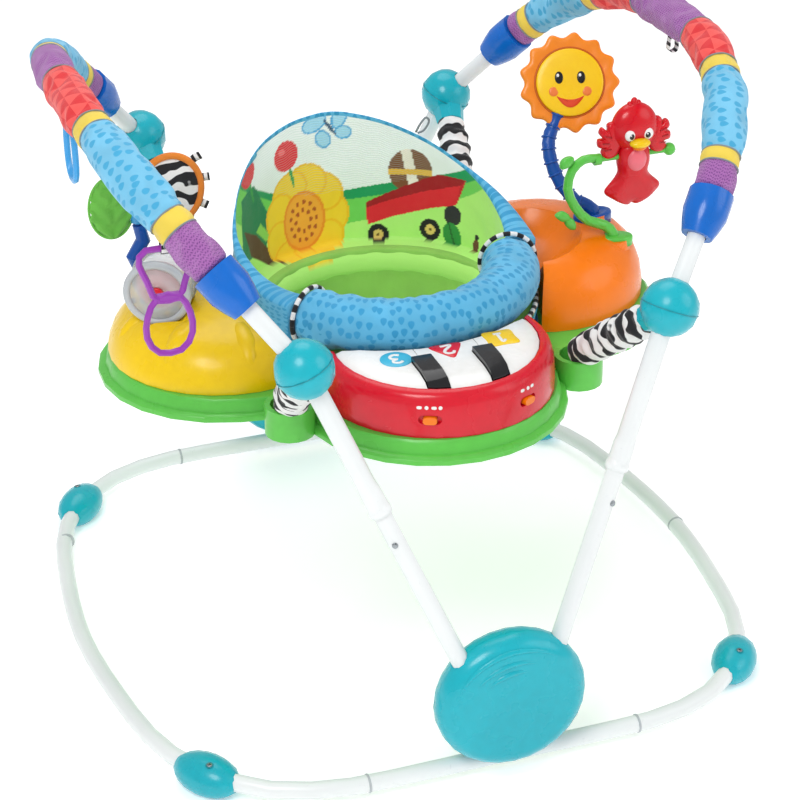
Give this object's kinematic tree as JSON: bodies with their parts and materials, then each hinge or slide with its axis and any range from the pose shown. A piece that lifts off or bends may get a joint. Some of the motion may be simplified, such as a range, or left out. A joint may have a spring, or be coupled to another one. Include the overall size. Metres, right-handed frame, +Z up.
{
  "type": "baby activity jumper",
  "caption": "Free-standing baby jumper: padded arches on a tubular base carry a sprung toy tray with a turning fabric seat.",
  "frame": {"origin": "on the floor at the centre of the base ring", "axes": "+Z up, -Y towards the piano side (front), +X to the right seen from the front"},
  "size_m": [0.8746, 0.932, 0.7969],
  "materials": {
    "white_tube": "gloss powder coat",
    "teal_plastic": "gloss",
    "blue_plastic": "gloss",
    "arch_fabric": "printed padded knit",
    "zebra_fabric": "printed woven",
    "green_plastic": "gloss",
    "yellow_plastic": "gloss",
    "orange_plastic": "gloss",
    "red_plastic": "gloss",
    "white_plastic": "gloss",
    "black_plastic": "gloss",
    "seat_shell": "satin",
    "seat_lining": "woven",
    "seat_fabric": "printed padded weave",
    "clear_plastic": "clear",
    "toy_fabric": "crinkle fabric",
    "purple_plastic": "gloss"
  },
  "bodies": {
    "frame": {"base_tube_front": "white_tube", "base_tube_rear": "white_tube", "base_tube_right": "white_tube", "base_tube_left": "white_tube", "foot_front_left": "teal_plastic", "foot_front_right": "teal_plastic", "foot_rear_left": "teal_plastic", "foot_rear_right": "teal_plastic", "hub_cover_front": "teal_plastic", "hub_shell_front": "teal_plastic", "hub_cover_rear": "teal_plastic", "hub_shell_rear": "teal_plastic", "leg_lower_front_left": "white_tube", "leg_upper_front_left": "white_tube", "leg_lower_front_right": "white_tube", "leg_upper_front_right": "white_tube", "leg_lower_rear_left": "white_tube", "leg_upper_rear_left": "white_tube", "leg_lower_rear_right": "white_tube", "leg_upper_rear_right": "white_tube", "joint_ball_front_left": "teal_plastic", "joint_ball_front_right": "teal_plastic", "joint_ball_rear_left": "teal_plastic", "joint_ball_rear_right": "teal_plastic", "arch_tube_left": "white_tube", "arch_cap_front_left": "blue_plastic", "arch_cap_rear_left": "blue_plastic", "arch_sleeve_left": "arch_fabric", "arch_tube_right": "white_tube", "arch_cap_front_right": "blue_plastic", "arch_cap_rear_right": "blue_plastic", "arch_sleeve_right": "arch_fabric", "tether_sleeve_front_left": "zebra_fabric", "tether_sleeve_front_right": "zebra_fabric", "tether_sleeve_rear_left": "zebra_fabric", "tether_sleeve_rear_right": "zebra_fabric"},
    "seat": {"seat_ring": "seat_shell", "seat_sling": "seat_lining", "seat_roll": "seat_fabric", "seat_back": "seat_fabric"},
    "key_1": {"white_key_1": "white_plastic"},
    "key_2": {"white_key_2": "white_plastic"},
    "key_3": {"white_key_3": "white_plastic"},
    "volume_switch": {"switch_volume": "orange_plastic"},
    "power_switch": {"switch_power": "orange_plastic"},
    "sun_toy": {"sun_stalk": "blue_plastic", "sun": "orange_plastic"},
    "bird_toy": {"bird": "red_plastic"},
    "drum_toy": {"drum": "clear_plastic"},
    "flutter_toy": {"flutter_wings": "toy_fabric"},
    "purple_link": {"purple_link": "purple_plastic"},
    "blue_link": {"blue_link": "blue_plastic"},
    "orange_link": {"orange_link": "orange_plastic"},
    "tray": {"tray_base": "green_plastic", "yellow_station": "yellow_plastic", "orange_station": "orange_plastic", "piano_housing": "red_plastic", "black_keys": "black_plastic", "flutter_post": "blue_plastic", "bird_hoop": "green_plastic"}
  },
  "joints": [
    {"name": "tray_bounce", "type": "slide", "parent": "frame", "child": "tray", "axis": [0, 0, 1], "range_m": [-0.06, 0.03], "stiffness_N_per_m": 500, "springref_m": 0.04413, "deforming": ["tether_sleeve_front_left", "tether_sleeve_front_right", "tether_sleeve_rear_left", "tether_sleeve_rear_right"]},
    {"name": "seat_spin", "type": "hinge", "parent": "tray", "child": "seat", "pos_m": [0, 0, 0.41], "axis": [0, 0, 1], "continuous": true},
    {"name": "key_1_press", "type": "slide", "parent": "tray", "child": "key_1", "axis": [0, 0, 1], "range_m": [-0.003, 0], "stiffness_N_per_m": 400, "springref_m": 0.0045},
    {"name": "key_2_press", "type": "slide", "parent": "tray", "child": "key_2", "axis": [0, 0, 1], "range_m": [-0.003, 0], "stiffness_N_per_m": 400, "springref_m": 0.0045},
    {"name": "key_3_press", "type": "slide", "parent": "tray", "child": "key_3", "axis": [0, 0, 1], "range_m": [-0.003, 0], "stiffness_N_per_m": 400, "springref_m": 0.0045},
    {"name": "volume_slide", "type": "slide", "parent": "tray", "child": "volume_switch", "axis": [0.9205, -0.3907, 0], "range_m": [-0.0045, 0.0045]},
    {"name": "power_slide", "type": "slide", "parent": "tray", "child": "power_switch", "axis": [0.8746, 0.4848, 0], "range_m": [-0.0045, 0.0045]},
    {"name": "sun_sway", "type": "hinge", "parent": "tray", "child": "sun_toy", "pos_m": [0.297, 0.025, 0.5], "axis": [1, 0, 0], "range_deg": [-8, 3], "stiffness_Nm_per_rad": 12},
    {"name": "bird_spin", "type": "hinge", "parent": "tray", "child": "bird_toy", "pos_m": [0.334, -0.018, 0.599], "axis": [1, 0, 0], "continuous": true},
    {"name": "drum_spin", "type": "hinge", "parent": "tray", "child": "drum_toy", "pos_m": [-0.29, 0.008, 0.505], "axis": [0.4512, 0.8924, 0], "continuous": true},
    {"name": "flutter_spin", "type": "hinge", "parent": "tray", "child": "flutter_toy", "pos_m": [-0.296, 0.088, 0.56], "axis": [0, 0, 1], "continuous": true},
    {"name": "purple_link_swing", "type": "hinge", "parent": "frame", "child": "purple_link", "pos_m": [-0.34272, -0.24977, 0.67414], "axis": [1, 0, 0], "range_deg": [-35, 60]},
    {"name": "blue_link_swing", "type": "hinge", "parent": "frame", "child": "blue_link", "pos_m": [-0.38884, 0.00858, 0.73359], "axis": [0, 1, 0], "range_deg": [-60, 60]},
    {"name": "orange_link_swing", "type": "hinge", "parent": "frame", "child": "orange_link", "pos_m": [0.31158, -0.26835, 0.65377], "axis": [1, 0, 0], "range_deg": [-20, 40]}
  ]
}
